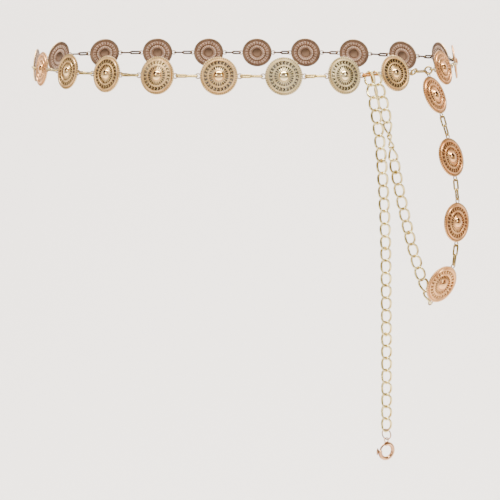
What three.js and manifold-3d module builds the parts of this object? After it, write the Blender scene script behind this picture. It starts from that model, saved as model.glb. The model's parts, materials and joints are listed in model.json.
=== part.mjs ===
// Chain belt of round openwork medallions, kept in the shape it takes when worn on the hips.
// Millimetres, +Z up, front at -Y. The origin is the middle of the waist ring.
import * as THREE from 'three';
import { mergeVertices } from 'three/addons/utils/BufferGeometryUtils.js';
import Module from 'manifold-3d';

const wasm = await Module();
wasm.setup();

// Clearances: linked pieces run loose, and the links of one piece are fused where they bear
const RUNNING_GAP = 0.3;
const CONNECTOR_BITE = 0.25;
const CHAIN_BITE = 0.4;

// Medallions: one pattern in two sizes, a flat back and a face that rises to a polished dome
const WAIST_DIAMETER = 26;
const DROP_DIAMETER = 28.5;
const MEDALLION_SIDES = 14;
const FACE_PROFILE = [
  { radius: 12.6, height: -0.65 },
  { radius: 13.0, height: 0.65 },
  { radius: 10.4, height: 0.5 },
  { radius: 3.7, height: 1.5 },
  { radius: 2.1, height: 2.7 },
];
const BACK_HEIGHT = -0.65;
const DOME_HEIGHT = 2.9;

// Eyes: two small rings cast on opposite sides of each medallion
const EYE_RADIUS = 1.65;
const EYE_WIRE = 0.75;
const EYE_STAND_OFF = 1.2;
const EYE_SIDES = 6;

// Connectors: two oval wire links between a pair of eyes, rolled to either side of level
const LINK = { length: 8.6, width: 3.6, wire: 0.9 };
const LINK_ROLL = 21;
const CONNECTOR = [
  { ...LINK, roll: LINK_ROLL, yaw: 0 },
  { ...LINK, roll: -LINK_ROLL, yaw: 0 },
];

// Drop rings: the longer piece of the waist ring from which the strand of four medallions hangs
const HANGING_RING = 2;
const DROP_RINGS = [
  { length: 6.3, width: 6.3, wire: 0.9, roll: 35, yaw: 0 },
  { length: 13.6, width: 3.6, wire: 0.9, roll: -30, yaw: 0 },
  { length: 6, width: 6, wire: 0.9, roll: 90, yaw: 55 },
  { length: 6.8, width: 3.6, wire: 0.9, roll: -15, yaw: 0 },
];

// Curb chain: oval links whose two ends are turned a quarter turn from each other
const CHAIN_LINK = { length: 11.15, width: 7.7, wire: 1.3, twist: -45 };
const LONG_CHAIN_RUNS = [7, 7, 7, 8];
const RETURN_CHAIN_RUNS = [8, 5, 6];
const CHAIN_HOOK_HEIGHT = 2.05;
const CHAIN_HOOK_SPREAD = 2.7;

// Sides of every wire's section
const WIRE_SIDES = 4;

// Jump ring and spring ring clasp at the free end of the long chain
const JUMP_RING = { diameter: 8.4, wire: 0.9, azimuth: 50 };
const CLASP = {
  ringRadius: 5.5,
  tubeRadius: 1.45,
  boreRadius: 0.97,
  boltRadius: 0.7,
  mouthStart: 100,
  mouthEnd: 165,
  eyeHeight: 8.35,
  faceAzimuth: 30,
  hang: 1.85,
};
const BOLT_TIP_ANGLE = 95;
const BOLT_TAIL_ANGLE = 215;
const TRIGGER_ANGLE = 174;
const TRIGGER_TRAVEL = 72;
const TRIGGER_STEM = { width: 0.9, depth: 0.7 };
const TRIGGER_PAD = { length: 4.4, thickness: 0.9, depth: 1.9, distance: 8 };
const SLOT = { width: 1.3, height: 2, above: 0.2, blockLength: 1.7, blocks: 9, before: 2, beyond: 8 };
const RING_STEPS = 14;
const ROD_SIDES = 6;
const BOLT_STEPS = 8;
const BORE_OVERRUN = 3;

// Fineness of a walk along a curve, in shares of its parameter, and of the closest fits
const STRIDE = 1 / 1500;
const HALVINGS = 30;
const ARC_DIVISIONS = 2000;

// The waist line as it is worn, seen from above and with its height: low in front, high behind
const WAIST_LINE = [
  { x: -10, y: -132, z: -14.5 },
  { x: 55, y: -124, z: -14.5 },
  { x: 110, y: -92, z: -12 },
  { x: 152, y: -54, z: -7 },
  { x: 166.5, y: -9, z: -0.5 },
  { x: 161, y: 34, z: 4 },
  { x: 132.5, y: 66.5, z: 7 },
  { x: 71, y: 87.5, z: 10.5 },
  { x: 5, y: 94, z: 11 },
  { x: -65, y: 87.5, z: 11 },
  { x: -127, y: 75, z: 10 },
  { x: -163, y: 46, z: 6.5 },
  { x: -171.5, y: -1.5, z: -4 },
  { x: -154.5, y: -43, z: -7 },
  { x: -110, y: -91, z: -11.5 },
  { x: -55, y: -124.5, z: -14 },
];

// Lean of each waist medallion in degrees, its top towards the wearer, from the front middle
const WAIST_LEAN = [6, 6, 8, 12, 15, 10, 14, 24, 24, 24, 24, 24, 24, 24, 18, 5, 6, 8, 6, 6];
const WAIST_START = -27;
const WAIST_SCALE_LIMITS = [0.9, 1.1];

// How much longer or shorter than a taut one each connector lies, from the front middle
const CONNECTOR_PLAY = [0, 0, 0, 0, 0, 0, 0, 0, -1.6, -1.5, -1.6, 0.4, 2.2, 1.8, 0, 0, 0, 0, 0, 0];
const CLOSURE_INDEX = 2;
const DROP_INDEX = 3;

// Route of the strand of four, from the hanging ring to its last eye, and where each face looks
const DROP_ROUTE = [
  { x: 146, y: -75, z: -42 },
  { x: 150, y: -79, z: -56 },
  { x: 155.5, y: -85, z: -87 },
  { x: 157, y: -88, z: -102 },
  { x: 156.5, y: -91, z: -133 },
  { x: 155, y: -92, z: -148 },
  { x: 137, y: -95, z: -178 },
];
const DROP_AZIMUTH = [53, 46, 44, 46];

// Route of the long chain below its hook, and of the chain that joins the strand back to the belt
const LONG_ROUTE = [
  { x: 94.5, y: -107, z: -31 },
  { x: 99, y: -107.5, z: -58 },
  { x: 103.5, y: -108, z: -113 },
  { x: 106, y: -108, z: -190 },
  { x: 108, y: -108, z: -300 },
];
const RETURN_ROUTE = [
  { x: 101.5, y: -99.5, z: -32 },
  { x: 107, y: -99, z: -58 },
  { x: 115, y: -98, z: -97 },
  { x: 126, y: -96, z: -140 },
];

// Facing of the chain links in degrees from the front, at the link numbers given
const LONG_FACING = [
  { link: 0, facing: -12 },
  { link: 4, facing: 0 },
  { link: 28, facing: 0 },
];
const RETURN_FACING = [
  { link: 0, facing: -12 },
  { link: 3, facing: 5 },
  { link: 5, facing: 90 },
  { link: 7, facing: 175 },
  { link: 16, facing: 180 },
  { link: 18, facing: 245 },
];

// Finishes
const GOLD = { color: 0xd9bd8b, roughness: 0.3, metalness: 1 };
const WARM_GOLD = { color: 0xd3a67a, roughness: 0.28, metalness: 1 };
const PALE_GOLD = { color: 0xe0d2a4, roughness: 0.3, metalness: 1 };

const UP = new THREE.Vector3(0, 0, 1);
const belt = new THREE.Group();

// A point of one of the tables above
function point(row) {
  return new THREE.Vector3(row.x, row.y, row.z);
}

// A level direction at an angle from the front, turning towards +X
function towards(azimuth) {
  const angle = THREE.MathUtils.degToRad(azimuth);
  return new THREE.Vector3(Math.sin(angle), -Math.cos(angle), 0);
}

// The part of a direction that is square to an axis, at unit length
function squareTo(direction, axis) {
  return direction.clone().addScaledVector(axis, -direction.dot(axis)).normalize();
}

// A placement with its X and Y directions given
function placement(origin, x, y) {
  const z = new THREE.Vector3().crossVectors(x, y);
  return new THREE.Matrix4().makeBasis(x, y, z).setPosition(origin);
}

// A solid from closed three.js geometry whose triangles share their corners
function solid(geometry) {
  const bare = geometry.index ? geometry.clone() : geometry;
  bare.deleteAttribute('normal');
  bare.deleteAttribute('uv');
  const merged = mergeVertices(bare, 1e-4);
  return new wasm.Manifold(new wasm.Mesh({
    numProp: 3,
    vertProperties: Float32Array.from(merged.attributes.position.array),
    triVerts: Uint32Array.from(merged.index.array),
  }));
}

function fuse(solids) {
  return solids.reduce((whole, piece) => whole.add(piece));
}

// One named piece of the belt
function addPiece(name, shape, finish) {
  const mesh = shape.getMesh();
  const geometry = new THREE.BufferGeometry();
  geometry.setAttribute('position', new THREE.BufferAttribute(mesh.vertProperties, 3));
  geometry.setIndex(new THREE.BufferAttribute(mesh.triVerts, 1));
  geometry.computeVertexNormals();
  const piece = new THREE.Mesh(geometry, new THREE.MeshStandardMaterial(finish));
  piece.name = name;
  belt.add(piece);
}

// The centre line of a wire loop: straight sides, octagonal ends and an even twist along it
class LoopCurve extends THREE.Curve {
  constructor({ length, width, wire, twist = 0 }) {
    super();
    const reach = (length - wire) / 2;
    const bend = (width - wire) / 2;
    const corner = Math.tan(Math.PI / 8);
    const shoulder = reach - bend * (1 - corner);
    const quarter = [[reach, bend * corner], [shoulder, bend]];
    const outline = [
      ...quarter,
      ...quarter.map(([x, y]) => [-x, y]).reverse(),
      ...quarter.map(([x, y]) => [-x, -y]),
      ...quarter.map(([x, y]) => [x, -y]).reverse(),
    ];
    this.corners = outline.map(([x, y]) => {
      const turn = THREE.MathUtils.degToRad(twist) * (x / reach);
      return new THREE.Vector3(x, y * Math.cos(turn), y * Math.sin(turn));
    });
  }

  getPoint(t, target = new THREE.Vector3()) {
    const count = this.corners.length;
    const place = ((t % 1) + 1) % 1 * count;
    const index = Math.floor(place);
    const from = this.corners[index % count];
    return target.lerpVectors(from, this.corners[(index + 1) % count], place - index);
  }

  // The steps of the tube fall on the corners
  getUtoTmapping(u) {
    return u;
  }
}

function wireLoop(size) {
  const curve = new LoopCurve(size);
  return new THREE.TubeGeometry(curve, curve.corners.length, size.wire / 2, WIRE_SIDES, true);
}

// A small flat-sided ring about local Z, with flats square to its own direction
function eyeRing(radius, direction) {
  const halfSide = Math.PI / EYE_SIDES;
  const corner = radius / Math.cos(halfSide);
  const ring = new THREE.TorusGeometry(corner, EYE_WIRE / 2, WIRE_SIDES, EYE_SIDES);
  return ring.rotateZ(direction + halfSide);
}

// Medallion with its two eyes on the local X axis and its face towards local +Z
function medallionSolid(diameter) {
  const scale = diameter / WAIST_DIAMETER;
  const profile = [
    new THREE.Vector2(0, BACK_HEIGHT),
    ...FACE_PROFILE.map((row) => new THREE.Vector2(row.radius * scale, row.height)),
    new THREE.Vector2(0, DOME_HEIGHT),
  ];
  const disc = new THREE.LatheGeometry(profile, MEDALLION_SIDES);
  disc.rotateX(Math.PI / 2);
  const pieces = [solid(disc)];
  for (const side of [1, -1]) {
    const eye = eyeRing(EYE_RADIUS * scale, 0);
    eye.translate(side * (diameter / 2 + EYE_STAND_OFF * scale), 0, 0);
    pieces.push(solid(eye));
  }
  return fuse(pieces);
}

// How far from a medallion's middle a wire lies in its eye
function eyeSeat(diameter, wire = LINK.wire) {
  const scale = diameter / WAIST_DIAMETER;
  const holeEnd = diameter / 2 + (EYE_STAND_OFF + EYE_RADIUS) * scale - EYE_WIRE / 2;
  return holeEnd - RUNNING_GAP - wire / 2;
}

// Length of a row of loops between the wires at its two ends
function reachOf(loops, bite) {
  let reach = 0;
  for (const loop of loops) {
    const yaw = THREE.MathUtils.degToRad(loop.yaw);
    reach += (loop.length - loop.wire) * Math.cos(yaw);
  }
  return reach - (loops.length - 1) * (loops[0].wire - bite);
}

// How far one end of a loop lies to the side of its row, where a loop turned sideways meets it
function sideStep(loops, index, end) {
  const neighbour = loops[index + end];
  const turned = loops[index].yaw === 0 && neighbour ? neighbour : loops[index];
  const direction = turned === loops[index] ? end : -end;
  const yaw = THREE.MathUtils.degToRad(turned.yaw);
  return (direction * Math.sin(yaw) * (turned.length - turned.wire)) / 2;
}

// A row of loops from one seat to another; outward is the way the neighbouring faces look
function loopRow(from, to, outward, loops) {
  const axis = to.clone().sub(from);
  const stretch = axis.length() / reachOf(loops, CONNECTOR_BITE);
  axis.normalize();
  const normal = squareTo(outward, axis);
  const rise = new THREE.Vector3().crossVectors(normal, axis);
  const place = (along, aside) => from.clone()
    .addScaledVector(axis, along)
    .addScaledVector(normal, aside);
  const shapes = [];
  const centres = [];
  let near = 0;
  loops.forEach((loop, index) => {
    const yaw = THREE.MathUtils.degToRad(loop.yaw);
    const roll = THREE.MathUtils.degToRad(loop.roll);
    const far = near + (loop.length - loop.wire) * Math.cos(yaw) * stretch;
    const start = place(near, sideStep(loops, index, -1));
    const end = place(far, sideStep(loops, index, 1));
    const centre = start.clone().lerp(end, 0.5);
    const x = end.clone().sub(start).normalize();
    const level = new THREE.Vector3().crossVectors(x, rise);
    const y = level.multiplyScalar(Math.cos(roll)).addScaledVector(rise, Math.sin(roll));
    const size = { ...loop, length: start.distanceTo(end) + loop.wire };
    shapes.push(solid(wireLoop(size).applyMatrix4(placement(centre, x, y))));
    centres.push(centre);
    near = far - (loop.wire - CONNECTOR_BITE) * stretch;
  });
  return { shape: fuse(shapes), centres };
}

// The next point of a curve at a straight distance from a point on it
function stepAlong(curve, start, from, distance) {
  let low = start;
  while (curve.getPoint((low + STRIDE) % 1).distanceTo(from) < distance) {
    low += STRIDE;
  }
  let high = low + STRIDE;
  for (let pass = 0; pass < HALVINGS; pass += 1) {
    const middle = (low + high) / 2;
    if (curve.getPoint(middle % 1).distanceTo(from) < distance) {
      low = middle;
    } else {
      high = middle;
    }
  }
  return high;
}

// Walk stiff lengths round or along a curve; the joints lie on the curve
function walk(curve, start, lengths) {
  const joints = [curve.getPoint(start % 1)];
  let place = start;
  for (const length of lengths) {
    place = stepAlong(curve, place, joints.at(-1), length);
    joints.push(curve.getPoint(place % 1));
  }
  return { joints, place };
}

// The waist line scaled so that the ring of medallions and connectors just closes on it
function closedWaist() {
  const medallion = 2 * eyeSeat(WAIST_DIAMETER);
  const lengths = [];
  for (let index = 0; index < WAIST_LEAN.length; index += 1) {
    const loops = index === DROP_INDEX ? DROP_RINGS : CONNECTOR;
    lengths.push(medallion, reachOf(loops, CONNECTOR_BITE) + CONNECTOR_PLAY[index]);
  }
  let [small, large] = WAIST_SCALE_LIMITS;
  let result = null;
  for (let pass = 0; pass < HALVINGS; pass += 1) {
    const scale = (small + large) / 2;
    const corners = WAIST_LINE.map((row) => point(row).multiplyScalar(scale));
    const curve = new THREE.CatmullRomCurve3(corners, true);
    let start = 1 - 1 / WAIST_LINE.length;
    while (curve.getPoint(start % 1).x < WAIST_START * scale) {
      start += STRIDE;
    }
    result = walk(curve, start, lengths);
    if (result.place - start > 1) {
      small = scale;
    } else {
      large = scale;
    }
  }
  result.joints.pop();
  return result.joints;
}

// Medallion between two seats; outward is the way its face looks before it is squared up
function addMedallion(name, diameter, from, to, outward, finish) {
  const centre = from.clone().add(to).multiplyScalar(0.5);
  const x = to.clone().sub(from).normalize();
  const normal = squareTo(outward, x);
  const y = new THREE.Vector3().crossVectors(normal, x);
  const shape = medallionSolid(diameter).transform(placement(centre, x, y).elements);
  addPiece(name, shape, finish);
  return normal;
}

// Waist ring
const seats = closedWaist();
const normals = [];
WAIST_LEAN.forEach((lean, index) => {
  const from = seats[2 * index];
  const to = seats[2 * index + 1];
  const along = to.clone().sub(from).normalize();
  const level = squareTo(new THREE.Vector3().crossVectors(along, UP), along);
  const angle = THREE.MathUtils.degToRad(lean);
  const outward = level.multiplyScalar(Math.cos(angle)).addScaledVector(UP, Math.sin(angle));
  const name = `waist_medallion_${String(index + 1).padStart(2, '0')}`;
  normals.push(addMedallion(name, WAIST_DIAMETER, from, to, outward, GOLD));
});

let longHook = null;
let returnHook = null;
let hangingPoint = null;
for (let index = 0; index < WAIST_LEAN.length; index += 1) {
  const next = (index + 1) % WAIST_LEAN.length;
  const outward = normals[index].clone().add(normals[next]);
  const loops = index === DROP_INDEX ? DROP_RINGS : CONNECTOR;
  const row = loopRow(seats[2 * index + 1], seats[2 * next], outward, loops);
  let name = `connector_${String(index + 1).padStart(2, '0')}`;
  if (index === CLOSURE_INDEX) {
    name = 'closure_connector';
    const middle = row.centres[0].clone().lerp(row.centres[1], 0.5);
    middle.addScaledVector(UP, CHAIN_HOOK_HEIGHT);
    const across = row.centres[1].clone().sub(row.centres[0]).normalize();
    longHook = middle.clone().addScaledVector(across, -CHAIN_HOOK_SPREAD);
    returnHook = middle.clone().addScaledVector(across, CHAIN_HOOK_SPREAD);
  }
  if (index === DROP_INDEX) {
    name = 'drop_rings';
    const ring = DROP_RINGS[HANGING_RING];
    hangingPoint = row.centres[HANGING_RING].clone();
    hangingPoint.z -= (ring.width - ring.wire) / 2;
  }
  addPiece(name, row.shape, WARM_GOLD);
}

// Strand of four medallions
const strandLengths = [];
DROP_AZIMUTH.forEach((azimuth, index) => {
  strandLengths.push(2 * eyeSeat(DROP_DIAMETER));
  if (index < DROP_AZIMUTH.length - 1) {
    strandLengths.push(reachOf(CONNECTOR, CONNECTOR_BITE));
  }
});
const strandCurve = new THREE.CatmullRomCurve3([hangingPoint, ...DROP_ROUTE.map(point)]);
const strandSeats = walk(strandCurve, 0, strandLengths).joints;
DROP_AZIMUTH.forEach((azimuth, index) => {
  const from = strandSeats[2 * index];
  const to = strandSeats[2 * index + 1];
  const name = `drop_medallion_${index + 1}`;
  addMedallion(name, DROP_DIAMETER, from, to, towards(azimuth), WARM_GOLD);
  if (index > 0) {
    const facing = towards((DROP_AZIMUTH[index - 1] + azimuth) / 2);
    const row = loopRow(strandSeats[2 * index - 1], from, facing, CONNECTOR);
    addPiece(`drop_connector_${index}`, row.shape, PALE_GOLD);
  }
});

// Facing of one link, read between the rows of a facing table
function facingOf(table, link) {
  const next = table.findIndex((row) => row.link >= link);
  if (next <= 0) {
    return table[0].facing;
  }
  const [before, after] = [table[next - 1], table[next]];
  const share = (link - before.link) / (after.link - before.link);
  return THREE.MathUtils.lerp(before.facing, after.facing, share);
}

// Curb chain in fused runs along a route; spacing is the distance between fused links
function addChain(name, curve, runs, spacing, facings) {
  const bearing = CHAIN_LINK.length - 2 * CHAIN_LINK.wire;
  const routeLength = curve.getLength();
  let along = (CHAIN_LINK.length - CHAIN_LINK.wire) / 2;
  let link = 0;
  let last = null;
  runs.forEach((count, run) => {
    const shapes = [];
    for (let index = 0; index < count; index += 1) {
      const share = along / routeLength;
      const x = curve.getTangentAt(share);
      const face = squareTo(towards(facingOf(facings, link)), x);
      const y = new THREE.Vector3().crossVectors(face, x);
      const centre = curve.getPointAt(share);
      shapes.push(solid(wireLoop(CHAIN_LINK).applyMatrix4(placement(centre, x, y))));
      last = { centre, x };
      link += 1;
      along += index < count - 1 ? spacing : bearing - RUNNING_GAP;
    }
    addPiece(`${name}_${run + 1}`, fuse(shapes), PALE_GOLD);
  });
  return last;
}

// Route length that a chain takes up apart from its fused spacings
function fixedLength(runs) {
  const bearing = CHAIN_LINK.length - 2 * CHAIN_LINK.wire;
  return CHAIN_LINK.length - CHAIN_LINK.wire + (runs.length - 1) * (bearing - RUNNING_GAP);
}

function fusedCount(runs) {
  return runs.reduce((sum, count) => sum + count - 1, 0);
}

// Long chain, hanging free
const longCurve = new THREE.CatmullRomCurve3([longHook, ...LONG_ROUTE.map(point)]);
longCurve.arcLengthDivisions = ARC_DIVISIONS;
const fullSpacing = CHAIN_LINK.length - 2 * CHAIN_LINK.wire + CHAIN_BITE;
const lastLink = addChain('long_chain', longCurve, LONG_CHAIN_RUNS, fullSpacing, LONG_FACING);

// Return chain, from the closure connector to the last eye of the strand
const lastDown = strandSeats.at(-1).clone().sub(strandSeats.at(-2)).normalize();
const seatShift = eyeSeat(DROP_DIAMETER, CHAIN_LINK.wire) - eyeSeat(DROP_DIAMETER);
const lastEye = strandSeats.at(-1).clone().addScaledVector(lastDown, seatShift);
const returnPoints = [returnHook, ...RETURN_ROUTE.map(point), lastEye];
const returnCurve = new THREE.CatmullRomCurve3(returnPoints);
returnCurve.arcLengthDivisions = ARC_DIVISIONS;
const returnSpacing = (returnCurve.getLength() - fixedLength(RETURN_CHAIN_RUNS))
  / fusedCount(RETURN_CHAIN_RUNS);
addChain('return_chain', returnCurve, RETURN_CHAIN_RUNS, returnSpacing, RETURN_FACING);

// Jump ring through the last link of the long chain
const jumpReach = (JUMP_RING.diameter - JUMP_RING.wire) / 2;
const linkEnd = lastLink.centre.clone()
  .addScaledVector(lastLink.x, (CHAIN_LINK.length - CHAIN_LINK.wire) / 2);
const jumpTop = linkEnd.clone()
  .addScaledVector(UP, CHAIN_LINK.wire / 2 + RUNNING_GAP + JUMP_RING.wire / 2);
const jumpCentre = jumpTop.clone().addScaledVector(UP, -jumpReach);
const jumpSize = { length: JUMP_RING.diameter, width: JUMP_RING.diameter, wire: JUMP_RING.wire };
const jumpAcross = towards(JUMP_RING.azimuth);
const jumpShape = wireLoop(jumpSize)
  .applyMatrix4(placement(jumpCentre, UP.clone().negate(), jumpAcross));
addPiece('jump_ring', solid(jumpShape), WARM_GOLD);

// Spring ring clasp: its pivot is the jump ring's lowest wire, lying in the clasp's eye
const pivot = jumpCentre.clone().addScaledVector(UP, -jumpReach);
const claspNormal = towards(CLASP.faceAzimuth);
const claspSide = new THREE.Vector3().crossVectors(UP, claspNormal);
const pivotHeight = CLASP.eyeHeight + EYE_RADIUS - EYE_WIRE / 2 - RUNNING_GAP - JUMP_RING.wire / 2;
const claspPlace = placement(pivot, claspSide, UP)
  .multiply(new THREE.Matrix4().makeRotationZ(THREE.MathUtils.degToRad(CLASP.hang)))
  .multiply(new THREE.Matrix4().makeTranslation(0, -pivotHeight, 0));

// An arc of the clasp's ring, in degrees counter-clockwise seen from the front
class RingArc extends THREE.Curve {
  constructor(start, end) {
    super();
    this.start = THREE.MathUtils.degToRad(start);
    this.end = THREE.MathUtils.degToRad(end);
  }

  getPoint(t, target = new THREE.Vector3()) {
    const angle = THREE.MathUtils.lerp(this.start, this.end, t);
    return target.set(Math.cos(angle), Math.sin(angle), 0).multiplyScalar(CLASP.ringRadius);
  }
}

// A round rod along an arc of the ring
function arcRod(radius, start, end, steps) {
  const section = new THREE.Shape();
  for (let index = 0; index < ROD_SIDES; index += 1) {
    const angle = (2 * Math.PI * index) / ROD_SIDES;
    const corner = [radius * Math.cos(angle), radius * Math.sin(angle)];
    if (index === 0) {
      section.moveTo(...corner);
    } else {
      section.lineTo(...corner);
    }
  }
  section.closePath();
  return solid(new THREE.ExtrudeGeometry(section, { steps, extrudePath: new RingArc(start, end) }));
}

// A block on the ring at an angle, its length along the ring and its height away from the centre
function ringBlock(angle, distance, length, height, depth) {
  const block = new THREE.BoxGeometry(height, length, depth);
  block.translate(distance, 0, 0);
  block.rotateZ(THREE.MathUtils.degToRad(angle));
  return solid(block);
}

// The slot in the outer wall, as blocks that overlap along the trigger's travel
function slotCutter() {
  const middle = CLASP.ringRadius + SLOT.above + SLOT.height / 2;
  const first = CLASP.mouthEnd - SLOT.before;
  const last = TRIGGER_ANGLE + TRIGGER_TRAVEL + SLOT.beyond;
  const blocks = [];
  for (let index = 0; index < SLOT.blocks; index += 1) {
    const angle = THREE.MathUtils.lerp(first, last, index / (SLOT.blocks - 1));
    blocks.push(ringBlock(angle, middle, SLOT.blockLength, SLOT.height, SLOT.width));
  }
  return fuse(blocks);
}

function claspBody() {
  const start = CLASP.mouthEnd;
  const end = CLASP.mouthStart + 360;
  const outside = arcRod(CLASP.tubeRadius, start, end, RING_STEPS);
  const bore = arcRod(CLASP.boreRadius, start - BORE_OVERRUN, end + BORE_OVERRUN, RING_STEPS);
  const eye = eyeRing(EYE_RADIUS, Math.PI / 2);
  eye.translate(0, CLASP.eyeHeight, 0);
  return outside.add(solid(eye)).subtract(bore).subtract(slotCutter());
}

function claspBolt() {
  const rod = arcRod(CLASP.boltRadius, BOLT_TIP_ANGLE, BOLT_TAIL_ANGLE, BOLT_STEPS);
  const stemHeight = TRIGGER_PAD.distance - CLASP.ringRadius;
  const stemMiddle = CLASP.ringRadius + stemHeight / 2;
  const stem = ringBlock(TRIGGER_ANGLE, stemMiddle, TRIGGER_STEM.width, stemHeight, TRIGGER_STEM.depth);
  const pad = ringBlock(
    TRIGGER_ANGLE,
    TRIGGER_PAD.distance,
    TRIGGER_PAD.length,
    TRIGGER_PAD.thickness,
    TRIGGER_PAD.depth,
  );
  return fuse([rod, stem, pad]);
}

addPiece('clasp_body', claspBody().transform(claspPlace.elements), WARM_GOLD);
addPiece('clasp_bolt', claspBolt().transform(claspPlace.elements), WARM_GOLD);

export default belt;
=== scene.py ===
# Chain belt of round openwork medallions: its fine form, finishes, light and camera
import json
import math

import bmesh
import bpy
import numpy as np
from mathutils import Matrix, Vector
from mathutils.geometry import delaunay_2d_cdt


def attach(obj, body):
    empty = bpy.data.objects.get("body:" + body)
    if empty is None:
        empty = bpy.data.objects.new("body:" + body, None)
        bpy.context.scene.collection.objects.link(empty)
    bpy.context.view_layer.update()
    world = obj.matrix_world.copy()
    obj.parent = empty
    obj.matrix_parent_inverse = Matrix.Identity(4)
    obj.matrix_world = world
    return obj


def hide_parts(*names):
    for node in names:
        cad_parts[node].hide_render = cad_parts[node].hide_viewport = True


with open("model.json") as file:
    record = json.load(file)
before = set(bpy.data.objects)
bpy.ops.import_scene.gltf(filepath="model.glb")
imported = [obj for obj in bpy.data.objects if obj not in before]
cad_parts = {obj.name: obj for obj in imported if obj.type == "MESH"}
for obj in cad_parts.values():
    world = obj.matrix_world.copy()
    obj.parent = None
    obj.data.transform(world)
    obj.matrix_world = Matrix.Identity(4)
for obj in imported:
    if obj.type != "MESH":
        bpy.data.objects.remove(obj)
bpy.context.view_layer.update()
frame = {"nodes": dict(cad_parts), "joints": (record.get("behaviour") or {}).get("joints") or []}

# All sizes are in millimetres until a mesh is finished
MM = 0.001
UP = Vector((0, 0, 1))

# Camera, as the photograph was taken
FRAME_PIXELS = 500
FOCAL_PIXELS = 1071.7
SENSOR = 36.0
CAMERA_PLACE = (42.3, -862.4, -29.9)
CAMERA_PITCH = 8.0
CAMERA_YAW = 2.57

# Medallions
WAIST_DIAMETER = 26.0
DROP_DIAMETER = 28.5
EYE_RADIUS = 1.65
EYE_WIRE = 0.75
EYE_STAND_OFF = 1.2
BACK_HEIGHT = -0.65
SECTORS = 24
SLOT_BAND = (3.5, 7.2)
SCROLL_BAND = (7.2, 10.9)
WEB_RADII = [3.6, 7.2, 10.7]
WEB_HEIGHTS = [0.95, 0.75, 0.5]

# Openings of one sector, as brush strokes through (across, radius, half width) points
SCROLLS = [
    [
        (-0.66, 10.18, 0.14), (-0.34, 9.75, 0.34), (-0.22, 9.15, 0.38), (-0.48, 8.55, 0.34),
        (-0.34, 7.95, 0.16),
    ],
    [(0.30, 10.15, 0.20), (0.60, 9.75, 0.36), (0.58, 9.25, 0.18)],
    [(0.36, 8.85, 0.14), (0.36, 8.40, 0.34), (0.66, 7.95, 0.18)],
]
SCROLL_MIDDLE = 9.0
SCROLL_SAMPLES = 7
SLOTS = [[(0, 4.35, 0.22), (0, 5.3, 0.35), (0, 6.35, 0.46)]]
SLOT_MIDDLE = 5.3
SLOT_SAMPLES = 4
MOUTH_SHARE = 1.2

# Milled edge: ribs of four columns each, on a closed (radius, height) profile
RIBS = 52
RIB_LIFTS = (-0.12, 0.16, 0.16, -0.12)
VALLEY_ROWS = (1, 4)
EDGE_PROFILE = [
    (11.1, 0.25), (11.45, 0.3), (11.7, 0.42), (12.45, 0.45), (12.9, 0.25), (12.95, -0.3), (12.7, -0.7),
    (12.3, -0.7), (12.1, -0.5), (11.5, -0.5), (11.3, -0.7), (10.9, -0.7), (10.8, -0.5),
]
DOME_PROFILE = [
    (0.02, 2.75), (0.8, 2.7), (1.6, 2.52), (2.3, 2.22), (2.9, 1.83), (3.3, 1.42), (3.5, 0.95),
    (3.5, -0.6), (3.35, -0.72), (0.02, -0.72),
]
DOME_SEGMENTS = 48

# Material slots of a medallion; HOLE, REAR and VALLEY hold painted shade, BEVEL painted light
FRONT, HOLE, REAR, BEVEL, POLISH, VALLEY = range(6)

# Round wires on a medallion: radius, height, thickness, segments and material slot
BEADS = [
    (10.9, 0.55, 0.36, 96, FRONT),
    (7.2, 0.75, 0.30, 96, FRONT),
    # The two wires on the back take the hole slot's painted shade
    (7.2, BACK_HEIGHT, 0.12, 96, HOLE),
    (3.6, BACK_HEIGHT, 0.12, 64, HOLE),
    (3.75, 0.95, 0.24, 64, FRONT),
]

# Wire links
RUNNING_GAP = 0.3
LINK = {"length": 8.6, "width": 3.6, "wire": 0.9, "yaw": 0}
CONNECTOR = [{**LINK, "roll": 21}, {**LINK, "roll": -21}]
DROP_RINGS = [
    {"length": 6.3, "width": 6.3, "wire": 0.9, "roll": 35, "yaw": 0},
    {"length": 13.6, "width": 3.6, "wire": 0.9, "roll": -30, "yaw": 0},
    {"length": 6.0, "width": 6.0, "wire": 0.9, "roll": 90, "yaw": 55},
    {"length": 6.8, "width": 3.6, "wire": 0.9, "roll": -15, "yaw": 0},
]
CONNECTOR_BITE = 0.25
WIRE_SWELL = 0.5
CLOSURE_INDEX = 2
DROP_INDEX = 3

# Curb chains
CHAIN_LINK = {"length": 11.15, "width": 7.7, "wire": 1.3, "twist": -45}
CHAIN_BITE = 0.4
CHAIN_SWELL = 0.45
LONG_CHAIN_RUNS = [7, 7, 7, 8]
RETURN_CHAIN_RUNS = [8, 5, 6]
CHAIN_HOOK_HEIGHT = 2.05
CHAIN_HOOK_SPREAD = 2.7
LONG_ROUTE = [
    (94.5, -107, -31), (99, -107.5, -58), (103.5, -108, -113), (106, -108, -190), (108, -108, -300),
]
RETURN_ROUTE = [(101.5, -99.5, -32), (107, -99, -58), (115, -98, -97), (126, -96, -140)]
LONG_FACING = [(0, -12), (4, 0), (28, 0)]
RETURN_FACING = [(0, -12), (3, 5), (5, 90), (7, 175), (16, 180), (18, 245)]

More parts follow.
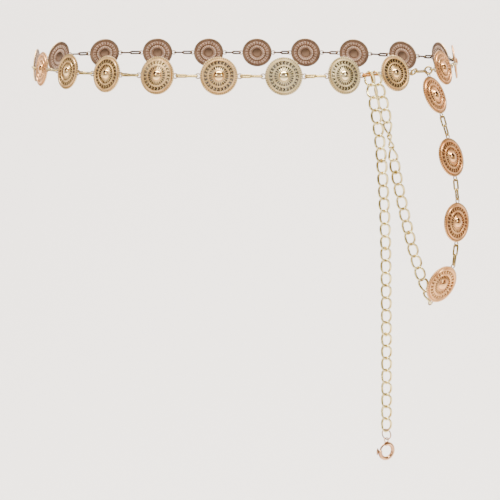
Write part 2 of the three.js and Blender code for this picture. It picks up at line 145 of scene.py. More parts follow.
# Clasp
JUMP_RING = {"length": 8.4, "width": 8.4, "wire": 0.9}
JUMP_AZIMUTH = 50
CLASP_RING = 5.5
CLASP_TUBE = 1.45
CLASP_BORE = 1.02
CLASP_EYE_HEIGHT = 8.35
BODY_START = 165
BODY_END = 460
SLOT_END = 256
SLOT_HALF_WIDTH = 0.6
CLOSED_HALF_GAP = 0.01
BODY_STEPS = 60
COLLAR_OFFSET = 5
COLLAR = [(-5, 0.05), (-4, 0.15), (3, 0.15), (4, 0.02)]
BOLT_RADIUS = 0.7
BOLT_START = 92
BOLT_END = 215
BOLT_STEPS = 40
BOLT_SIDES = 14
TRIGGER_ANGLE = 174
TRIGGER_SPAN = 38
TRIGGER_STEPS = 12
TRIGGER_SIDES = 12
TRIGGER_DISTANCE = 7.95
TRIGGER_LIFT = 0.3
TRIGGER_HALF_DEPTH = 0.5
TRIGGER_HALF_WIDTH = 1.0
STEM_DISTANCES = (5.6, 7.7)
STEM_HALF_LENGTH = 0.45
STEM_HALF_DEPTH = 0.35
EYE_SEGMENTS = 28
EYE_SIDES = 10

# Depth of the metal's faint dents, as a share
DENT_STRENGTH = 0.02


# Finishes; tones and darks that stand in for light are marked as painted light and painted shade

def noise_node(tree, scale, detail=3.0):
    place = tree.nodes.new("ShaderNodeTexCoord")
    noise = tree.nodes.new("ShaderNodeTexNoise")
    noise.inputs["Scale"].default_value = scale
    noise.inputs["Detail"].default_value = detail
    tree.links.new(place.outputs["Object"], noise.inputs["Vector"])
    return noise


def ramp_node(tree, factor, stops):
    ramp = tree.nodes.new("ShaderNodeValToRGB")
    elements = ramp.color_ramp.elements
    while len(elements) < len(stops):
        elements.new(0.5)
    for element, (position, colour) in zip(elements, stops):
        element.position = position
        element.color = (*colour, 1)
    tree.links.new(factor, ramp.inputs["Fac"])
    return ramp


def metal(name, bright, dull, roughness, spread=0.12):
    """Plated metal whose colour and gloss drift a little over the surface."""
    material = bpy.data.materials.new(name)
    material.use_nodes = True
    tree = material.node_tree
    shader = tree.nodes["Principled BSDF"]
    shader.inputs["Metallic"].default_value = 1.0
    cloud = noise_node(tree, 120)
    colour = ramp_node(tree, cloud.outputs["Fac"], [(0.35, dull), (0.62, bright)])
    tree.links.new(colour.outputs["Color"], shader.inputs["Base Color"])
    wear = noise_node(tree, 900, 5.0)
    gloss = tree.nodes.new("ShaderNodeMapRange")
    gloss.inputs["From Min"].default_value = 0.3
    gloss.inputs["From Max"].default_value = 0.7
    gloss.inputs["To Min"].default_value = roughness
    gloss.inputs["To Max"].default_value = roughness + spread
    tree.links.new(wear.outputs["Fac"], gloss.inputs["Value"])
    tree.links.new(gloss.outputs["Result"], shader.inputs["Roughness"])
    dents = tree.nodes.new("ShaderNodeBump")
    dents.inputs["Strength"].default_value = DENT_STRENGTH
    dents.inputs["Distance"].default_value = 0.2 * MM
    tree.links.new(wear.outputs["Fac"], dents.inputs["Height"])
    tree.links.new(dents.outputs["Normal"], shader.inputs["Normal"])
    return material


# Champagne, warm and rose are one gold: the champagne copy is painted light, the rose copy painted shade,
# matched medallion by medallion
CHAMPAGNE = metal("champagne_gold", (0.86, 0.70, 0.40), (0.74, 0.57, 0.29), 0.28)
WARM = metal("warm_gold", (0.86, 0.59, 0.28), (0.74, 0.47, 0.20), 0.28)
ROSE = metal("rose_gold", (0.84, 0.47, 0.21), (0.72, 0.36, 0.14), 0.28)
SHINE = metal("polished_champagne_painted_light", (0.92, 0.76, 0.46), (0.86, 0.68, 0.38), 0.10, spread=0.05)
WARM_SHINE = metal("polished_gold", (0.90, 0.64, 0.32), (0.84, 0.54, 0.25), 0.10, spread=0.05)
ROSE_SHINE = metal("polished_rose_painted_shade", (0.86, 0.48, 0.22), (0.76, 0.38, 0.15), 0.10, spread=0.05)
PALE = metal("pale_gold", (0.82, 0.68, 0.33), (0.52, 0.41, 0.17), 0.12)
# Copper: a darker, redder copy of the gold for the closing connector, painted shade
COPPER_SHADE = metal("copper_painted_shade", (0.62, 0.29, 0.08), (0.45, 0.19, 0.05), 0.16)
CLASP_GOLD = metal("clasp_gold", (0.72, 0.42, 0.23), (0.52, 0.28, 0.15), 0.12)
CLASP_WIRE = metal("clasp_wire", (0.42, 0.24, 0.13), (0.28, 0.15, 0.08), 0.14)
# Near-black for the walls of the piercings and the wires on the back: painted shade in the holes
HOLE_SHADE = metal("hole_painted_shade", (0.035, 0.017, 0.005), (0.02, 0.009, 0.003), 0.5)
COPPER_HOLE_SHADE = metal("copper_hole_painted_shade", (0.16, 0.055, 0.015), (0.10, 0.032, 0.008), 0.5)
# Dark gold for the valleys of the milled edge and for the eyes: painted shade
GROOVE_SHADE = metal("groove_painted_shade", (0.26, 0.16, 0.07), (0.17, 0.10, 0.04), 0.3)
# Olive: a darker copy of the gold for the connectors, painted shade
BAR_SHADE = metal("olive_painted_shade", (0.46, 0.34, 0.13), (0.30, 0.21, 0.08), 0.18)
# Dark brown for every face turned to the back: painted shade
REAR_SHADE = metal("rear_painted_shade", (0.14, 0.088, 0.057), (0.085, 0.052, 0.034), 0.42)
# Pale pink for the rear bevels of the piercings: painted light against the painted shade of the back
REAR_BEVEL_LIGHT = metal("rear_bevel_painted_light", (0.60, 0.43, 0.33), (0.48, 0.34, 0.25), 0.4)
# Near-black for wire faces turned to the back: painted shade
WIRE_REAR_SHADE = metal("wire_rear_painted_shade", (0.05, 0.03, 0.023), (0.028, 0.018, 0.014), 0.35)


# Mesh building: a shape is a list of (vertices, faces, material index) parts in millimetres

def ring_faces(rows, columns, close_rows=False, flip=False):
    """Quads between the rows of a grid whose columns close on themselves."""
    faces = []
    last = rows if close_rows else rows - 1
    for row in range(last):
        upper = (row + 1) % rows
        for column in range(columns):
            right = (column + 1) % columns
            quad = [
                row * columns + column, row * columns + right,
                upper * columns + right, upper * columns + column,
            ]
            faces.append(quad[::-1] if flip else quad)
    return faces


def lathe(profile, segments, ripple=None):
    """A closed (radius, height) profile turned about Z; ripple moves a point by its row and step."""
    vertices = []
    for row, (radius, height) in enumerate(profile):
        for step in range(segments):
            angle = 2 * math.pi * step / segments
            shift = ripple(row, step) if ripple else (0, 0)
            reach = radius + shift[0]
            vertices.append((reach * math.cos(angle), reach * math.sin(angle), height + shift[1]))
    return vertices, ring_faces(len(profile), segments, close_rows=True)


def bead(radius, height, thickness, segments, sides=8):
    """A round ring of wire lying flat about Z."""
    profile = []
    for side in range(sides):
        angle = 2 * math.pi * side / sides
        profile.append((radius + thickness * math.cos(angle), height + thickness * math.sin(angle)))
    return lathe(profile, segments)


def web_height(radius):
    """Height of the pierced front at a distance from the middle."""
    return float(np.interp(radius, WEB_RADII, WEB_HEIGHTS))


def spline(points, samples):
    """Points on a smooth line through the given ones."""
    padded = [2 * np.array(points[0]) - np.array(points[1])]
    padded += [np.array(point) for point in points]
    padded.append(2 * padded[-1] - padded[-2])
    line = []
    for index in range(samples):
        place = index / (samples - 1) * (len(points) - 1)
        span = min(int(place), len(points) - 2)
        t = place - span
        a, b, c, d = padded[span:span + 4]
        line.append(0.5 * (2 * b + (c - a) * t + (2 * a - 5 * b + 4 * c - d) * t * t
                           + (3 * b - a - 3 * c + d) * t ** 3))
    return line


def stroke(points, samples, share):
    """Closed outline of a brush stroke through its points, with its width times share."""
    line = spline(points, samples)
    left = []
    right = []
    for index, place in enumerate(line):
        before = line[max(index - 1, 0)][:2]
        after = line[min(index + 1, len(line) - 1)][:2]
        along = (after - before) / np.linalg.norm(after - before)
        across = np.array([-along[1], along[0]]) * place[2] * share
        left.append(place[:2] + across)
        right.append(place[:2] - across)
        if index == 0:
            start = place[:2] - along * place[2] * share
        end = place[:2] + along * place[2] * share
    return [start, *right, end, *left[::-1]]


def bend(outline, middle):
    """Wraps (across, radius) points round the medallion's middle."""
    wrapped = []
    for across, radius in outline:
        angle = across / middle
        wrapped.append((radius * math.sin(angle), radius * math.cos(angle)))
    return wrapped


def inside(point, outline):
    """Whether a point lies inside a closed outline."""
    x, y = point
    hit = False
    for (x1, y1), (x2, y2) in zip(outline, outline[1:] + outline[:1]):
        if (y1 > y) != (y2 > y) and x < (x2 - x1) * (y - y1) / (y2 - y1) + x1:
            hit = not hit
    return hit


def sector_sheet(inner, outer, holes, steps=4):
    """Triangles of one sector of a flat ring around its holes."""
    half = math.pi / SECTORS
    border = []
    for radius, direction in ((outer, 1), (inner, -1)):
        for step in range(steps + 1):
            angle = direction * half * (2 * step / steps - 1)
            border.append((radius * math.sin(angle), radius * math.cos(angle)))
    points = []
    edges = []
    for outline in (border, *holes):
        first = len(points)
        points += [Vector(point) for point in outline]
        edges += [(first + i, first + (i + 1) % len(outline)) for i in range(len(outline))]
    vertices, _, faces, *_ = delaunay_2d_cdt(points, edges, [], 0, 1e-6)
    kept = []
    for face in faces:
        middle = sum((vertices[i] for i in face), Vector((0, 0))) / len(face)
        if inside(middle, border) and not any(inside(middle, hole) for hole in holes):
            kept.append(list(face))
    return [(v.x, v.y) for v in vertices], kept


def band(inner, outer, openings, middle, samples):
    """Parts of a pierced ring: front sheet, flat back and the walls of the openings."""
    def at(share):
        return [bend(stroke(opening, samples, share), middle) for opening in openings]

    sheet_points, sheet_faces = sector_sheet(inner, outer, at(MOUTH_SHARE))
    back_faces = [face[::-1] for face in sheet_faces]

    def front_at(x, y):
        return web_height(math.hypot(x, y))

    # Each level of an opening's wall: share of its width, height, and slot of the wall above; the HOLE
    # walls are painted shade, the BEVEL walls painted light
    levels = [
        (MOUTH_SHARE, lambda x, y: front_at(x, y), None),
        (1.12, lambda x, y: front_at(x, y) - 0.08, FRONT),
        (1.05, lambda x, y: front_at(x, y) - 0.35, HOLE),
        (0.03, lambda x, y: BACK_HEIGHT + 0.40, HOLE),
        (0.60, lambda x, y: BACK_HEIGHT + 0.20, BEVEL),
        (MOUTH_SHARE, lambda x, y: BACK_HEIGHT, BEVEL),
    ]
    parts = []
    for turn in range(SECTORS):
        angle = 2 * math.pi * turn / SECTORS
        c, s = math.cos(angle), math.sin(angle)

        def spun(points, height):
            return [(x * c - y * s, x * s + y * c, height(x, y)) for x, y in points]

        parts.append((spun(sheet_points, front_at), sheet_faces, FRONT))
        parts.append((spun(sheet_points, lambda x, y: BACK_HEIGHT), back_faces, REAR))
        for (share_a, height_a, _), (share_b, height_b, slot) in zip(levels, levels[1:]):
            for upper, lower in zip(at(share_a), at(share_b)):
                count = len(upper)
                faces = ring_faces(2, count, flip=True)
                parts.append((spun(upper, height_a) + spun(lower, height_b), faces, slot))
    return parts


def rib(row, step):
    """The coin edge of a medallion: four steps to a rib."""
    lift = RIB_LIFTS[step % len(RIB_LIFTS)]
    rows = ((0, 0), (0, 0), (0, lift), (0, lift), (lift * 0.4, lift * 0.5), (lift * 0.5, 0))
    return rows[row] if row < len(rows) else (0, 0)


def medallion_mesh():
    parts = band(*SCROLL_BAND, SCROLLS, SCROLL_MIDDLE, SCROLL_SAMPLES)
    parts += band(*SLOT_BAND, SLOTS, SLOT_MIDDLE, SLOT_SAMPLES)
    columns = RIBS * len(RIB_LIFTS)
    vertices, faces = lathe(EDGE_PROFILE, columns, ripple=rib)
    first_row, last_row = VALLEY_ROWS
    plain = []
    valleys = []
    for index, face in enumerate(faces):
        low_column = index % columns % len(RIB_LIFTS) == len(RIB_LIFTS) - 1
        low = low_column and first_row <= index // columns <= last_row
        (valleys if low else plain).append(face)
    parts.append((vertices, plain, FRONT))
    # Valleys between the ribs get painted shade
    parts.append((vertices, valleys, VALLEY))
    for radius, height, thickness, segments, slot in BEADS:
        parts.append((*bead(radius, height, thickness, segments), slot))
    vertices, faces = lathe(DOME_PROFILE, DOME_SEGMENTS)
    parts.append((vertices, faces, POLISH))
    # The eyes take the valleys' painted shade too
    for side in (1, -1):
        vertices, faces = bead(EYE_RADIUS, 0, EYE_WIRE / 2, EYE_SEGMENTS, EYE_SIDES)
        shift = side * (WAIST_DIAMETER / 2 + EYE_STAND_OFF)
        parts.append(([(x + shift, y, z) for x, y, z in vertices], faces, VALLEY))
    return parts


def make_mesh(name, parts, materials, sharp=40, inner=None):
    """One mesh of all the parts. A front or polished face for which inner holds gets the rear's slot,
    which is painted shade.
    """
    vertices = []
    faces = []
    slots = []
    for part_vertices, part_faces, slot in parts:
        first = len(vertices)
        vertices += part_vertices
        faces += [[first + i for i in face] for face in part_faces]
        slots += [slot] * len(part_faces)
    mesh = bpy.data.meshes.new(name)
    mesh.from_pydata([Vector(v) * MM for v in vertices], [], faces)
    for material in materials:
        mesh.materials.append(material)
    mesh.polygons.foreach_set("material_index", slots)
    weld(mesh)
    if inner:
        for polygon in mesh.polygons:
            if polygon.material_index in (FRONT, POLISH) and inner(polygon):
                polygon.material_index = REAR
    mesh.polygons.foreach_set("use_smooth", [True] * len(mesh.polygons))
    mesh.set_sharp_from_angle(angle=math.radians(sharp))
    return mesh


def weld(mesh):
    """Joins the points that parts share and turns every face outwards."""
    work = bmesh.new()
    work.from_mesh(mesh)
    bmesh.ops.remove_doubles(work, verts=work.verts, dist=1e-7)
    bmesh.ops.recalc_face_normals(work, faces=work.faces)
    work.to_mesh(mesh)
    work.free()


def add(name, mesh, body, node):
    """Adds a visible piece that rides a body and stands in for a node's solid."""
    piece = bpy.data.objects.new(name, mesh)
    bpy.context.scene.collection.objects.link(piece)
    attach(piece, body)
    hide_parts(node)
    return piece


# Places read from the frame

def node_points(node):
    mesh = frame["nodes"][node].data
    points = np.empty(len(mesh.vertices) * 3)
    mesh.vertices.foreach_get("co", points)
    return points.reshape(-1, 3) / MM


# Share of a medallion's reach beyond which its points belong to an eye
EYE_SHARE = 0.9


def medallion_place(node, hanging):
    """Middle, direction through the eyes and face direction of a medallion's solid."""
    points = node_points(node)
    spread = points - points.mean(axis=0)
    _, axes = np.linalg.eigh(spread.T @ spread)
    x = axes[:, 2]
    reach = spread @ x
    far = reach.max()
    ahead = points[reach > EYE_SHARE * far].mean(axis=0)
    behind = points[reach < -EYE_SHARE * far].mean(axis=0)
    middle = Vector((ahead + behind) / 2)
    x = Vector(ahead - behind).normalized()
    normal = Vector(axes[:, 0])
    heights = (points - np.array(middle)) @ np.array(normal)
    if heights.max() < -heights.min():
        normal = -normal
    normal = (normal - x * normal.dot(x)).normalized()
    y = normal.cross(x)
    if (hanging and x.z > 0) or (not hanging and y.z < 0):
        x, y = -x, -y
    return middle, x, y, normal


def placement(origin, x, y, z, scale=1.0):
    """Matrix that puts a mesh in metres at a place in millimetres."""
    turn = Matrix((x, y, z)).transposed().to_4x4()
    return Matrix.Translation(Vector(origin) * MM) @ turn @ Matrix.Scale(scale, 4)


def towards(azimuth):
    angle = math.radians(azimuth)
    return Vector((math.sin(angle), -math.cos(angle), 0))


def square_to(direction, axis):
    return (direction - axis * direction.dot(axis)).normalized()


def eye_seat(diameter, wire=LINK["wire"]):
    """Distance from a medallion's middle to the wire that hangs in its eye."""
    scale = diameter / WAIST_DIAMETER
    hole_end = diameter / 2 + (EYE_STAND_OFF + EYE_RADIUS) * scale - EYE_WIRE / 2
    return hole_end - RUNNING_GAP - wire / 2


# Wire loops

def loop_points(size, arc_steps=12, side_steps=3):
    """Places and face directions along the middle of a wire loop."""
    reach = (size["length"] - size["wire"]) / 2
    bend_radius = (size["width"] - size["wire"]) / 2
    straight = reach - bend_radius
    twist = math.radians(size.get("twist", 0))
    flat = []
    for side in (1, -1):
        for step in range(arc_steps + 1):
            angle = math.pi * (step / arc_steps - 0.5)
            flat.append((side * (straight + bend_radius * math.cos(angle)),
                         side * bend_radius * math.sin(angle)))
        if straight > 0.1:
            for step in range(1, side_steps):
                share = step / side_steps
                flat.append((side * straight * (1 - 2 * share), side * bend_radius))
    places = []
    for x, y in flat:
        turn = twist * x / reach
        places.append((Vector((x, y * math.cos(turn), y * math.sin(turn))),
                       Vector((0, -math.sin(turn), math.cos(turn)))))
    return places


def loop_shape(size, origin, x, y, sides=10, flatten=1.0):
    """A wire loop laid at a place: X along it, Y across it."""
    z = x.cross(y)
    turn = Matrix((x, y, z)).transposed()
    places = loop_points(size)
    count = len(places)
    vertices = []
    for index, (place, normal) in enumerate(places):
        along = (places[(index + 1) % count][0] - places[index - 1][0]).normalized()
        normal = square_to(normal, along)
        across = along.cross(normal)
        for side in range(sides):
            angle = 2 * math.pi * side / sides
            radius = size["wire"] / 2
            offset = across * (radius * math.cos(angle)) + normal * (radius * flatten * math.sin(angle))
            vertices.append(tuple(Vector(origin) + turn @ (place + offset)))
    return vertices, ring_faces(count, sides, close_rows=True), 0


def swollen(size, swell):
    """The same loop of thicker wire, on the same middle line."""
    grown = {key: size[key] + swell for key in ("length", "width", "wire")}
    return {**size, **grown}


def reach_of(loops, bite):
    """Length of a row of loops, between the wires at its ends."""
    reach = sum((loop["length"] - loop["wire"]) * math.cos(math.radians(loop["yaw"])) for loop in loops)
    return reach - (len(loops) - 1) * (loops[0]["wire"] - bite)


def side_step(loops, index, end):
    """How far a loop's end stands off the row, where it or its neighbour is turned."""
    neighbour = loops[index + end] if 0 <= index + end < len(loops) else None
    turned = neighbour if loops[index]["yaw"] == 0 and neighbour else loops[index]
    direction = end if turned is loops[index] else -end
    return direction * math.sin(math.radians(turned["yaw"])) * (turned["length"] - turned["wire"]) / 2


def loop_row(start, end, outward, loops):
    """A row of linked loops between two seats, and the middles of the loops."""
    axis = end - start
    stretch = axis.length / reach_of(loops, CONNECTOR_BITE)
    axis = axis.normalized()
    normal = square_to(outward, axis)
    rise = normal.cross(axis)
    shapes = []
    centres = []
    near = 0
    for index, loop in enumerate(loops):
        roll = math.radians(loop["roll"])
        far = near + (loop["length"] - loop["wire"]) * math.cos(math.radians(loop["yaw"])) * stretch
        first = start + axis * near + normal * side_step(loops, index, -1)
        last = start + axis * far + normal * side_step(loops, index, 1)
        x = (last - first).normalized()
        level = x.cross(rise)
        y = level * math.cos(roll) + rise * math.sin(roll)
        size = swollen({**loop, "length": (last - first).length + loop["wire"]}, WIRE_SWELL)
        centre = (first + last) / 2
        shapes.append(loop_shape(size, centre, x, y))
        centres.append(centre)
        near = far - (loop["wire"] - CONNECTOR_BITE) * stretch
    return shapes, centres, normal


# Chain routes

class Route:
    """Smooth centripetal curve through points, walked by its length."""

    def __init__(self, points, samples=200):
        points = [Vector(p) for p in points]
        ends = [points[0] * 2 - points[1], *points, points[-1] * 2 - points[-2]]
        self.line = []
        for index in range(1, len(ends) - 2):
            p0, p1, p2, p3 = ends[index - 1:index + 3]
            d0, d1, d2 = ((b - a).length ** 0.5 for a, b in ((p0, p1), (p1, p2), (p2, p3)))
            t1 = ((p1 - p0) / d0 - (p2 - p0) / (d0 + d1) + (p2 - p1) / d1) * d1
            t2 = ((p2 - p1) / d1 - (p3 - p1) / (d1 + d2) + (p3 - p2) / d2) * d1
            for step in range(samples):
                t = step / samples
                a = 2 * t ** 3 - 3 * t ** 2 + 1
                b = t ** 3 - 2 * t ** 2 + t
                c = -2 * t ** 3 + 3 * t ** 2
                d = t ** 3 - t ** 2
                self.line.append(p1 * a + t1 * b + p2 * c + t2 * d)
        self.line.append(points[-1])
        steps = [(b - a).length for a, b in zip(self.line, self.line[1:])]
        self.lengths = np.concatenate([[0], np.cumsum(steps)])
        self.length = self.lengths[-1]

    def at(self, distance):
        index = int(np.clip(np.searchsorted(self.lengths, distance) - 1, 0, len(self.line) - 2))
        a, b = self.line[index], self.line[index + 1]
        share = (distance - self.lengths[index]) / (b - a).length
        return a.lerp(b, share), (b - a).normalized()


def facing_of(table, link):
    """Azimuth that a link faces, from a table of (link, azimuth) rows."""
    links, facings = zip(*table)
    return float(np.interp(link, links, facings))


def add_chain(name, route, runs, spacing, facings):
    bearing = CHAIN_LINK["length"] - 2 * CHAIN_LINK["wire"]
    size = swollen(CHAIN_LINK, CHAIN_SWELL)
    along = (CHAIN_LINK["length"] - CHAIN_LINK["wire"]) / 2
    link = 0
    for run, count in enumerate(runs, 1):
        parts = []
        for index in range(count):
            centre, x = route.at(along)
            face = square_to(towards(facing_of(facings, link)), x)
            parts.append(loop_shape(size, centre, x, face.cross(x), sides=12, flatten=0.85))
            link += 1
            along += spacing if index < count - 1 else bearing - RUNNING_GAP
        node = f"{name}_{run}"
        piece = add(f"{name}_links_{run}", make_mesh(node, parts, [PALE]), "belt", node)


def fixed_length(runs):
    """Length of a chain's two half end links and of the steps between its runs."""
    bearing = CHAIN_LINK["length"] - 2 * CHAIN_LINK["wire"]
    return CHAIN_LINK["length"] - CHAIN_LINK["wire"] + (len(runs) - 1) * (bearing - RUNNING_GAP)


# Medallions
pattern = medallion_mesh()


# Faces turned to the back, which get the rear's painted shade
def in_rear_shade(polygon):
    return polygon.normal.z < -0.3 and polygon.center.z < -0.2 * MM


# One medallion mesh per tone, with painted shade in the holes, valleys and rear and painted light on the
# rear bevels
medallion_meshes = {}
for material, hole_shade, shine in (
        (CHAMPAGNE, HOLE_SHADE, SHINE), (WARM, HOLE_SHADE, WARM_SHINE), (ROSE, COPPER_HOLE_SHADE, ROSE_SHINE)):
    medallion_meshes[material.name] = make_mesh(
        f"medallion_{material.name}", pattern,
        [material, hole_shade, REAR_SHADE, REAR_BEVEL_LIGHT, shine, GROOVE_SHADE], inner=in_rear_shade)

# Tone of each waist medallion: champagne is painted light, rose painted shade
WAIST_TONES = [WARM, CHAMPAGNE, CHAMPAGNE, WARM, ROSE, ROSE] + [WARM] * 10 + [ROSE, WARM, WARM, WARM]
waist = []
for index, tone in enumerate(WAIST_TONES):
    node = f"waist_medallion_{index + 1:02d}"
    middle, x, y, normal = medallion_place(node, False)
    waist.append((middle, x, normal))
    piece = add(f"openwork_{node}", medallion_meshes[tone.name], "belt", node)
    piece.matrix_world = placement(middle, x, y, normal)

strand = []
for index in range(1, 5):
    node = f"drop_medallion_{index}"
    middle, x, y, normal = medallion_place(node, True)
    strand.append((middle, x, normal))
    # The drop medallions take the rose tone, painted shade
    piece = add(f"openwork_{node}", medallion_meshes[ROSE.name], "belt", node)
    piece.matrix_world = placement(middle, x, y, normal, DROP_DIAMETER / WAIST_DIAMETER)

# Connectors of the waist ring
seat = eye_seat(WAIST_DIAMETER)
for index in range(len(waist)):
    middle, x, normal = waist[index]
    next_middle, next_x, next_normal = waist[(index + 1) % len(waist)]
    loops = DROP_RINGS if index == DROP_INDEX else CONNECTOR
    shapes, centres, outward = loop_row(
        middle + x * seat, next_middle - next_x * seat, normal + next_normal, loops)
    node = f"connector_{index + 1:02d}"
    # Connectors in olive, the closing one in copper: both painted shade
    tone = BAR_SHADE
    if index == CLOSURE_INDEX:
        node = "closure_connector"
        tone = COPPER_SHADE
        hook = (centres[0] + centres[1]) / 2 + UP * CHAIN_HOOK_HEIGHT
        across = (centres[1] - centres[0]).normalized()
        long_hook = hook - across * CHAIN_HOOK_SPREAD
        return_hook = hook + across * CHAIN_HOOK_SPREAD
    if index == DROP_INDEX:
        node = "drop_rings"
    # Wire faces turned inwards get the rear's painted shade
    mesh = make_mesh(f"{node}_wire", shapes, [tone, HOLE_SHADE, WIRE_REAR_SHADE],
                     inner=lambda polygon, outward=outward: polygon.normal.dot(outward) < -0.1)
    piece = add(f"links_{node}", mesh, "belt", node)

# Connectors of the strand
drop_seat = eye_seat(DROP_DIAMETER)
for index in range(1, 4):
    middle, x, normal = strand[index - 1]
    next_middle, next_x, next_normal = strand[index]
    shapes, centres, outward = loop_row(
        middle + x * drop_seat, next_middle - next_x * drop_seat, normal + next_normal, CONNECTOR)
    node = f"drop_connector_{index}"
    # Strand connectors in the olive tone, painted shade
    piece = add(f"links_{node}", make_mesh(f"{node}_wire", shapes, [BAR_SHADE]), "belt", node)

# Chains
full_spacing = CHAIN_LINK["length"] - 2 * CHAIN_LINK["wire"] + CHAIN_BITE
long_route = Route([long_hook, *LONG_ROUTE])
add_chain("long_chain", long_route, LONG_CHAIN_RUNS, full_spacing, LONG_FACING)
last_middle, last_down, _ = strand[-1]
last_eye = last_middle + last_down * eye_seat(DROP_DIAMETER, CHAIN_LINK["wire"])
return_route = Route([return_hook, *RETURN_ROUTE, last_eye])
fused = sum(count - 1 for count in RETURN_CHAIN_RUNS)
return_spacing = (return_route.length - fixed_length(RETURN_CHAIN_RUNS)) / fused
add_chain("return_chain", return_route, RETURN_CHAIN_RUNS, return_spacing, RETURN_FACING)

# Jump ring and clasp
joints = {joint["name"]: joint for joint in frame["joints"]}
pivot = Vector(joints["clasp_swing"]["pos_m"]) / MM
ring_centre = Vector(joints["clasp_trigger"]["pos_m"]) / MM
clasp_z = Vector(joints["clasp_swing"]["axis"]).normalized()
clasp_y = square_to(pivot - ring_centre, clasp_z)
clasp_x = clasp_y.cross(clasp_z)
jump_reach = (JUMP_RING["length"] - JUMP_RING["wire"]) / 2
jump = loop_shape(JUMP_RING, pivot + UP * jump_reach, -UP, towards(JUMP_AZIMUTH), sides=12)
jump_piece = add("jump_ring_wire", make_mesh("jump_ring_wire", [jump], [CLASP_WIRE]), "belt", "jump_ring")


def arc_place(angle, distance, height=0.0):
    """A point of the clasp in its own plane, at an angle and distance from the ring's middle."""
    turn = math.radians(angle)
    return Vector((distance * math.cos(turn), distance * math.sin(turn), height))


def sweep(sections):
    """Closed sections along an arc, with both ends capped."""
    count = len(sections[0])
    vertices = [tuple(point) for section in sections for point in section]
    faces = ring_faces(len(sections), count)
    faces.append(list(range(count))[::-1])
    faces.append([len(vertices) - count + i for i in range(count)])
    return vertices, faces, 0


def tube_section(angle, half_gap, outer=CLASP_TUBE, inner=CLASP_BORE, sides=20):
    """Section of the clasp's tube with a gap in its outer wall."""
    points = []
    for radius, order in ((outer, 1), (inner, -1)):
        for side in range(sides + 1)[::order]:
            turn = half_gap / radius + (2 * math.pi - 2 * half_gap / radius) * side / sides
            points.append(arc_place(angle, CLASP_RING + radius * math.cos(turn), radius * math.sin(turn)))
    return points


def half_gap_at(angle):
    """Half the width of the trigger's slot in the tube; past the slot the tube is all but closed."""
    return SLOT_HALF_WIDTH if angle < SLOT_END else CLOSED_HALF_GAP


def clasp_body_parts():
    sections = []
    for step in range(BODY_STEPS + 1):
        angle = BODY_START + (BODY_END - BODY_START) * step / BODY_STEPS
        sections.append(tube_section(angle, half_gap_at(angle)))
    parts = [sweep(sections)]
    for angle in (BODY_START + COLLAR_OFFSET, BODY_END - COLLAR_OFFSET):
        collar = []
        for turn, lift in COLLAR:
            collar.append(tube_section(
                angle + turn, half_gap_at(angle), outer=CLASP_TUBE + lift, inner=CLASP_TUBE - 0.1))
        parts.append(sweep(collar))
    vertices, faces = bead(EYE_RADIUS, 0, EYE_WIRE / 2, EYE_SEGMENTS, EYE_SIDES)
    parts.append(([(x, y + CLASP_EYE_HEIGHT, z) for x, y, z in vertices], faces, 0))
    return parts


def clasp_bolt_parts():
    sections = []
    for step in range(BOLT_STEPS + 1):
        share = step / BOLT_STEPS
        angle = BOLT_START + (BOLT_END - BOLT_START) * share
        taper = min(1.0, math.sqrt(max(0.02, min(share, 1 - share) * 12)))
        ring = []
        for side in range(BOLT_SIDES):
            turn = 2 * math.pi * side / BOLT_SIDES
            ring.append(arc_place(angle, CLASP_RING + BOLT_RADIUS * taper * math.cos(turn),
                                  BOLT_RADIUS * taper * math.sin(turn)))
        sections.append(ring)
    parts = [sweep(sections)]
    stem = []
    for distance in STEM_DISTANCES:
        stem.append([arc_place(TRIGGER_ANGLE, distance)
                     + Vector((0, a * STEM_HALF_LENGTH, b * STEM_HALF_DEPTH))
                     for a, b in ((-1, -1), (1, -1), (1, 1), (-1, 1))])
    parts.append(sweep(stem))
    lever = []
    for step in range(TRIGGER_STEPS + 1):
        share = step / TRIGGER_STEPS
        angle = TRIGGER_ANGLE - TRIGGER_SPAN / 2 + TRIGGER_SPAN * share
        from_middle = (2 * share - 1) ** 2
        swell = math.sqrt(max(0.03, 1 - from_middle))
        distance = TRIGGER_DISTANCE + TRIGGER_LIFT * from_middle
        ring = []
        for side in range(TRIGGER_SIDES):
            turn = 2 * math.pi * side / TRIGGER_SIDES
            ring.append(arc_place(angle, distance + TRIGGER_HALF_DEPTH * swell * math.cos(turn),
                                  TRIGGER_HALF_WIDTH * swell * math.sin(turn)))
        lever.append(ring)
    parts.append(sweep(lever))
    return parts


clasp_matrix = placement(ring_centre, clasp_x, clasp_y, clasp_z)
body_mesh = make_mesh("spring_ring_tube", clasp_body_parts(), [CLASP_GOLD])
body_piece = add("spring_ring_tube", body_mesh, "clasp", "clasp_body")
body_piece.matrix_world = clasp_matrix
bolt_mesh = make_mesh("spring_ring_bolt", clasp_bolt_parts(), [CLASP_WIRE])
bolt_piece = add("spring_ring_bolt", bolt_mesh, "bolt", "clasp_bolt")
bolt_piece.matrix_world = clasp_matrix


# Studio, in metres: a pale floor that rises into a wall, soft lights and the surroundings
FLOOR = -0.75
FLOOR_START = -6.0
WALL_PLACE = 1.6
WALL_TOP = 5.0
WALL_CURVE = 0.9
WALL_HALF_WIDTH = 5.0
CURVE_STEPS = 16
BACKDROP_COLOUR = (0.95, 0.905, 0.87, 1)
LIGHT_COLOUR = (1, 0.97, 0.93)

# Name, place, aim, size and power of each soft light
SOFTBOXES = [
    ("left_softbox", (-1.5, -1.6, 0.9), (0, 0, -0.05), (0.4, 0.9), 14),
    ("right_softbox", (1.5, -1.6, 0.9), (0, 0, -0.1), (0.4, 0.9), 14),
    ("top_softbox", (0.0, 0.2, 2.2), (0, 0.1, 0), (2.2, 1.6), 30),
    ("wall_softbox", (0.0, -0.4, 2.6), (0, 1.6, -0.2), (3.0, 0.6), 340),
]


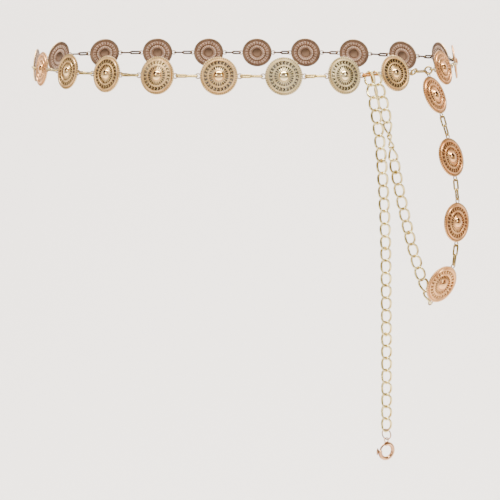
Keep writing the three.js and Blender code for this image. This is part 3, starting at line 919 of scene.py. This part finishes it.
def backdrop():
    material = bpy.data.materials.new("backdrop")
    material.use_nodes = True
    shader = material.node_tree.nodes["Principled BSDF"]
    shader.inputs["Base Color"].default_value = BACKDROP_COLOUR
    shader.inputs["Roughness"].default_value = 0.9
    profile = [(FLOOR_START, FLOOR)]
    for step in range(CURVE_STEPS + 1):
        angle = math.pi / 2 * step / CURVE_STEPS
        profile.append((WALL_PLACE - WALL_CURVE + WALL_CURVE * math.sin(angle),
                        FLOOR + WALL_CURVE - WALL_CURVE * math.cos(angle)))
    profile.append((WALL_PLACE, WALL_TOP))
    vertices = [(x, y, z) for y, z in profile for x in (-WALL_HALF_WIDTH, WALL_HALF_WIDTH)]
    faces = [(2 * i, 2 * i + 1, 2 * i + 3, 2 * i + 2) for i in range(len(profile) - 1)]
    mesh = bpy.data.meshes.new("backdrop")
    mesh.from_pydata(vertices, [], faces)
    mesh.polygons.foreach_set("use_smooth", [True] * len(faces))
    mesh.materials.append(material)
    piece = bpy.data.objects.new("backdrop", mesh)
    bpy.context.scene.collection.objects.link(piece)


def softbox(name, place, target, size, power):
    light = bpy.data.lights.new(name, "AREA")
    light.shape = "RECTANGLE"
    light.size, light.size_y = size
    light.energy = power
    light.color = LIGHT_COLOUR
    lamp = bpy.data.objects.new(name, light)
    bpy.context.scene.collection.objects.link(lamp)
    lamp.location = place
    lamp.rotation_euler = (Vector(target) - Vector(place)).to_track_quat("-Z", "Y").to_euler()


def sky():
    """Surroundings: bright towards the camera, dark to the sides and overhead."""
    world = bpy.data.worlds.new("studio")
    bpy.context.scene.world = world
    world.use_nodes = True
    tree = world.node_tree
    background = tree.nodes["Background"]
    place = tree.nodes.new("ShaderNodeTexCoord")
    split = tree.nodes.new("ShaderNodeSeparateXYZ")
    tree.links.new(place.outputs["Generated"], split.inputs["Vector"])
    lift = tree.nodes.new("ShaderNodeMapRange")
    lift.inputs["From Min"].default_value = -1
    lift.inputs["From Max"].default_value = 1
    tree.links.new(split.outputs["Z"], lift.inputs["Value"])
    height = ramp_node(tree, lift.outputs["Result"], [
        (0.0, (0.45, 0.43, 0.41)),
        (0.40, (0.75, 0.72, 0.69)),
        (0.52, (1.35, 1.31, 1.26)),
        (0.64, (1.2, 1.16, 1.11)),
        (0.76, (0.24, 0.22, 0.20)),
        (1.0, (0.65, 0.63, 0.61)),
    ])
    side = tree.nodes.new("ShaderNodeMath")
    side.operation = "ABSOLUTE"
    tree.links.new(split.outputs["X"], side.inputs[0])
    shade = ramp_node(tree, side.outputs["Value"], [
        (0.0, (1, 1, 1)),
        (0.42, (0.95, 0.95, 0.95)),
        (0.60, (0.08, 0.07, 0.05)),
        (0.86, (0.08, 0.07, 0.05)),
        (0.97, (0.7, 0.7, 0.7)),
    ])
    product = tree.nodes.new("ShaderNodeVectorMath")
    product.operation = "MULTIPLY"
    tree.links.new(height.outputs["Color"], product.inputs[0])
    tree.links.new(shade.outputs["Color"], product.inputs[1])
    tree.links.new(product.outputs["Vector"], background.inputs["Color"])
    background.inputs["Strength"].default_value = 1.0


backdrop()
sky()
for row in SOFTBOXES:
    softbox(*row)

camera_data = bpy.data.cameras.new("camera")
camera_data.sensor_width = SENSOR
camera_data.lens = FOCAL_PIXELS / FRAME_PIXELS * SENSOR
camera_data.clip_start = 0.01
camera = bpy.data.objects.new("camera", camera_data)
camera.location = Vector(CAMERA_PLACE) * MM
camera.rotation_euler = (math.radians(90 - CAMERA_PITCH), 0, math.radians(CAMERA_YAW))
bpy.context.scene.collection.objects.link(camera)
bpy.context.scene.camera = camera

bpy.context.view_layer.update()
